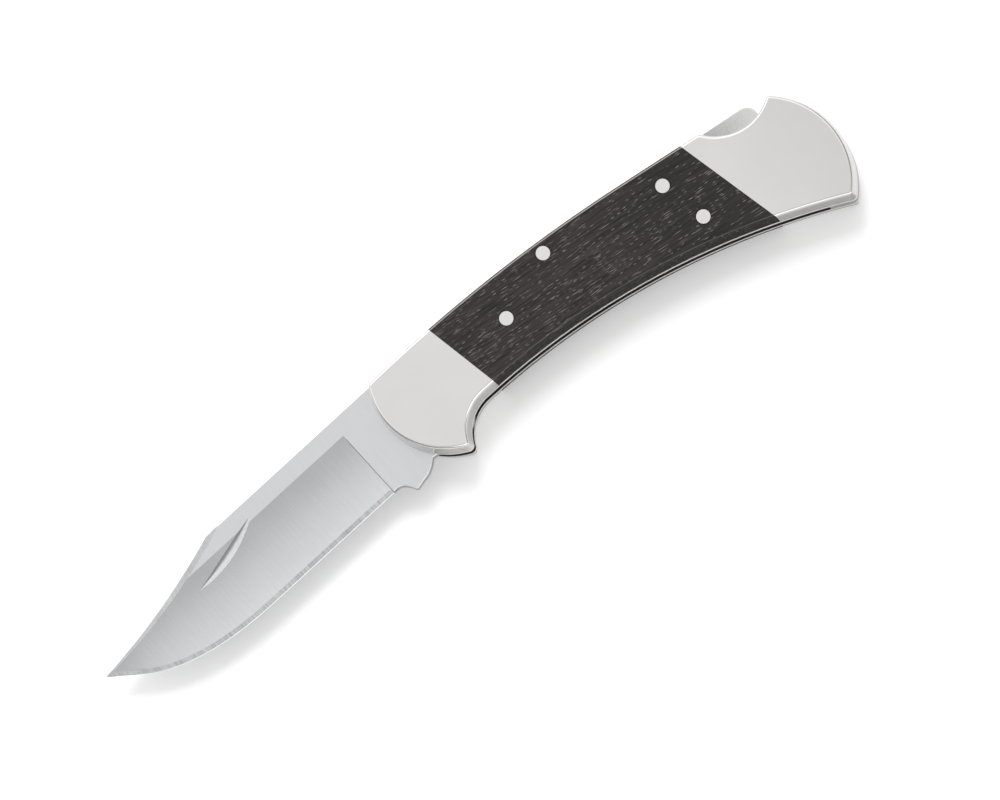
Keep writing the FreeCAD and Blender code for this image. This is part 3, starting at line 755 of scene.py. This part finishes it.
# The lips take the pale dust and a painted highlight, the grooves a painted shade.
dust_and_highlight = add(tree, "ShaderNodeMix", {0: dust, 6: srgb("413b39"), 7: srgb("88817c")}, data_type="RGBA")
lit = add(tree, "ShaderNodeMix", {0: lip_highlight, 6: ground.outputs[2], 7: dust_and_highlight.outputs[2]}, data_type="RGBA")
tone = add(tree, "ShaderNodeMix", {0: groove_with_painted_shade, 6: lit.outputs[2], 7: srgb("060505")}, data_type="RGBA")
# The sawn walls are left rougher than the sanded face.
turn = add(tree, "ShaderNodeSeparateXYZ", {0: add(tree, "ShaderNodeTexCoord").outputs["Normal"]})
level = add(tree, "ShaderNodeMath", {0: turn.outputs[2]}, operation="ABSOLUTE")
sanded = add(tree, "ShaderNodeMapRange", {0: level.outputs[0], 1: 0.15, 2: 0.5, 3: 0.85, 4: 0.36})
rough = add(tree, "ShaderNodeMath", {0: groove_with_painted_shade, 1: 0.2, 2: sanded.outputs[0]}, operation="MULTIPLY_ADD")
# The rounded rim is painted paler as a highlight, most of all along the back.
rim = add(tree, "ShaderNodeValToRGB", {0: level.outputs[0]},
          stops=((0.86, 0.0), (0.89, 1.0), (0.975, 1.0), (0.99, 0.0)))
backward = add(tree, "ShaderNodeMapRange", {0: turn.outputs[1], 1: -0.3, 2: 0.3, 3: 0.1, 4: 0.95})
painted_rim_highlight = add(tree, "ShaderNodeMath", {0: rim.outputs[0], 1: backward.outputs[0]}, operation="MULTIPLY")
tone = add(tree, "ShaderNodeMix", {0: painted_rim_highlight.outputs[0], 6: tone.outputs[2], 7: srgb("a29b97")},
           data_type="RGBA")
# Pores are sunk and the streaks a little.
sunk = add(tree, "ShaderNodeMath", {0: streak.outputs[0], 1: 0.15, 2: groove_with_painted_shade}, operation="MULTIPLY_ADD")
bump = add(tree, "ShaderNodeBump", {"Height": sunk.outputs[0], "Strength": 1.0, "Distance": pore_depth},
           invert=True)
tree.links.new(tone.outputs[2], shader.inputs["Base Color"])
tree.links.new(rough.outputs[0], shader.inputs["Roughness"])
tree.links.new(bump.outputs[0], shader.inputs["Normal"])
shader.inputs["IOR"].default_value = 1.5
shader.inputs["Specular IOR Level"].default_value = 0.3

for side in ("left", "right"):
    holes = [(place, rivet_hole) for place in [lock_pin] + list(rivets.values())]
    scale = side_piece(side + "_scale_wood", [(front_seam, False), (rear_seam, True)], holes, wood, side)
    fit(scale, "handle", side + "_scale")

# Rivets and the lock bar's pin: nickel silver rod, headed in the scales and filed flush with the wood.
# A rivet's thinner shank goes on through the liner, and the lock bar's pin goes right through the handle.

# Filing leaves the faces plain and pale, with faint lines that are drawn 0.3 mm wide to show.
pin_metal = ground_metal("nickel_silver_rod_filed", "d6d5d4", "dfdedd", (0.26, 0.32),
                         2.5 * mm, 0.3 * mm, 0.001 * mm)
pin_radius = 1.575
shank_radius = 1.0
pin_chamfer = 0.12
liner_top = total_thick - side_thick
liner_bottom = liner_top - liner_thick


def turned(name, place, profile):
    """A piece turned on a lathe: its half section, as radius and height, spun about its own axis."""
    bm = bmesh.new()
    pen = bmesh.ops.create_vert(bm, co=flat(place[0] + profile[0][0], place[1], profile[0][1]))["vert"][0]
    for radius, height in profile[1:]:
        pen = bmesh.ops.extrude_vert_indiv(bm, verts=[pen])["verts"][0]
        pen.co = flat(place[0] + radius, place[1], height)
    bmesh.ops.spin(bm, geom=bm.verts[:] + bm.edges[:], cent=flat(*place), axis=(0, 0, 1),
                   angle=2 * math.pi, steps=round_steps, use_merge=True, use_duplicate=False)
    bmesh.ops.remove_doubles(bm, verts=bm.verts, dist=weld)
    bmesh.ops.recalc_face_normals(bm, faces=bm.faces)
    return finish_piece(name, bm, [pin_metal])


face_radius = pin_radius - pin_chamfer
top = [(0, total_thick), (face_radius, total_thick), (pin_radius, total_thick - pin_chamfer)]
left_rivet = top + [(pin_radius, liner_top), (shank_radius, liner_top), (shank_radius, liner_bottom),
                    (0, liner_bottom)]
right_rivet = [(radius, total_thick - height) for radius, height in left_rivet]
for rivet, place in rivets.items():
    for side, section in (("left", left_rivet), ("right", right_rivet)):
        made = turned(side + "_" + rivet + "_rivet_filed", place, section)
        fit(made, "handle", side + "_" + rivet + "_rivet")
rod = top + [(pin_radius, pin_chamfer), (face_radius, 0), (0, 0)]
fit(turned("lock_bar_pin_filed", lock_pin, rod), "handle", "lock_bar_pin")

# Studio: the knife lies on a sheet of white paper in a pale room that is brighter towards its back.
# One soft box from that side gives the light and the shadow.
# A strip and a card, like a studio's white panels, show only in reflections.
floor_half_width = 4.0
floor_drop = 0.05
paper_glow = 0.27
paper_mirrored = 0.04
speckle_size = 30 * mm
floor_bm = bmesh.new()
bmesh.ops.create_grid(floor_bm, x_segments=1, y_segments=1, size=floor_half_width)
bmesh.ops.translate(floor_bm, verts=floor_bm.verts, vec=flat(0, 0, -floor_drop))

# Matt paper is even and has no gloss; to the camera it glows a little, so that it comes out white.
white, tree, shader, place = start_material("paper_backdrop_white")
speckle = add(tree, "ShaderNodeTexNoise", {"Vector": place, "Scale": 1 / speckle_size})
tone = add(tree, "ShaderNodeMix", {0: speckle.outputs[0], 6: srgb("e8e8e8"), 7: srgb("eaeaea")},
           data_type="RGBA")
tree.links.new(tone.outputs[2], shader.inputs["Base Color"])
shader.inputs["Roughness"].default_value = 1.0
shader.inputs["Specular IOR Level"].default_value = 0.0
path = add(tree, "ShaderNodeLightPath")
mirrored = add(tree, "ShaderNodeMath", {0: path.outputs["Is Glossy Ray"], 1: paper_mirrored},
               operation="MULTIPLY")
glow = add(tree, "ShaderNodeMath", {0: path.outputs["Is Camera Ray"], 1: paper_glow, 2: mirrored.outputs[0]},
           operation="MULTIPLY_ADD")
shader.inputs["Emission Color"].default_value = srgb("ffffff")
tree.links.new(glow.outputs[0], shader.inputs["Emission Strength"])
floor = finish_piece("floor", floor_bm, [white])

world = bpy.data.worlds.new("studio")
bpy.context.scene.world = world
world.use_nodes = True
tree = world.node_tree
room_level = 1.17
way = add(tree, "ShaderNodeSeparateXYZ", {0: add(tree, "ShaderNodeTexCoord").outputs["Generated"]})
tip_to_butt, belly_to_back = [add(tree, "ShaderNodeMapRange", {0: part, 1: -1.0, 2: 1.0, 3: 0.0, 4: 1.0})
                              for part in (way.outputs[0], way.outputs[1])]
# From the belly to the back the room grows bright, and it darkens again low down behind the back.
across = add(tree, "ShaderNodeValToRGB", {0: belly_to_back.outputs[0]},
             stops=((0.0, 0.5), (0.28, 0.52), (0.37, 0.58), (0.54, 0.97), (0.585, 1.0),
                    (0.64, 1.1), (0.88, 1.05), (0.97, 0.72), (1.0, 0.68)))
# It is dark far out past the tip and the butt, so that polished rims show a dark line there.
lengthways = add(tree, "ShaderNodeValToRGB", {0: tip_to_butt.outputs[0]},
                 stops=((0.0, 0.45), (0.085, 0.45), (0.155, 1.05), (0.325, 1.0), (0.5, 1.0),
                        (0.6, 1.2), (0.89, 1.2), (0.94, 0.32), (1.0, 0.3)))
# It is brightest some way up the walls.
overhead = add(tree, "ShaderNodeValToRGB", {0: way.outputs[2]},
               stops=((0.0, 0.72), (0.6, 0.95), (0.88, 0.95), (1.0, 0.8)))
for shade in (across, lengthways, overhead):
    shade.color_ramp.interpolation = "EASE"
plan = add(tree, "ShaderNodeMath", {0: across.outputs[0], 1: lengthways.outputs[0]}, operation="MULTIPLY")
room = add(tree, "ShaderNodeMath", {0: plan.outputs[0], 1: overhead.outputs[0]}, operation="MULTIPLY")
strength = add(tree, "ShaderNodeMath", {0: room.outputs[0], 1: room_level}, operation="MULTIPLY")
tree.links.new(strength.outputs[0], tree.nodes["Background"].inputs["Strength"])
tree.nodes["Background"].inputs["Color"].default_value = srgb("ffffff")

target = flat(10.97, -5.77, 7.65)


def panel(name, width, height, power, offset, hidden_from):
    """An area lamp that faces the knife, unseen by the camera and by one more kind of ray."""
    lamp = bpy.data.lights.new(name, "AREA")
    lamp.shape = "RECTANGLE"
    lamp.size = width
    lamp.size_y = height
    lamp.energy = power
    stand = bpy.data.objects.new(name, lamp)
    stand.location = target + Vector(offset)
    stand.rotation_euler = Vector(offset).to_track_quat("Z", "Y").to_euler()
    stand.visible_camera = False
    setattr(stand, "visible_" + hidden_from, False)
    bpy.context.scene.collection.objects.link(stand)


panel("soft_box", width=0.5, height=0.5, power=7.5, offset=(0.27, 0.53, 1.05), hidden_from="glossy")
# The strip draws the bright line along rounded edges at the back, and the card the pale line at the belly.
panel("strip", width=1.4, height=0.27, power=3.6, offset=(0, 1.09, 0.71), hidden_from="diffuse")
panel("card", width=1.6, height=1.1, power=6.2, offset=(0, -1.0, 0.84), hidden_from="diffuse")

# Camera: a long lens almost straight above, leaning to the belly, with the knife slanting up to the right.
# The picture is 202.3 mm wide where the knife lies.
roll = math.radians(42.5)
lean = math.radians(9.5)
distance = 3.0
view_width = 202.3 * mm
upright = Vector((0, math.cos(lean), math.sin(lean)))
back = Vector((0, -math.sin(lean), math.cos(lean)))
right = math.cos(roll) * Vector((1, 0, 0)) - math.sin(roll) * upright
up = back.cross(right)
lens = bpy.data.cameras.new("camera")
lens.sensor_width = 36.0
lens.lens = lens.sensor_width * distance / view_width
lens.clip_end = 20.0
camera = bpy.data.objects.new("camera", lens)
camera.matrix_world = Matrix((right, up, back)).transposed().to_4x4()
camera.location = target + back * distance
bpy.context.scene.collection.objects.link(camera)
bpy.context.scene.camera = camera
bpy.context.scene.view_settings.view_transform = "Standard"
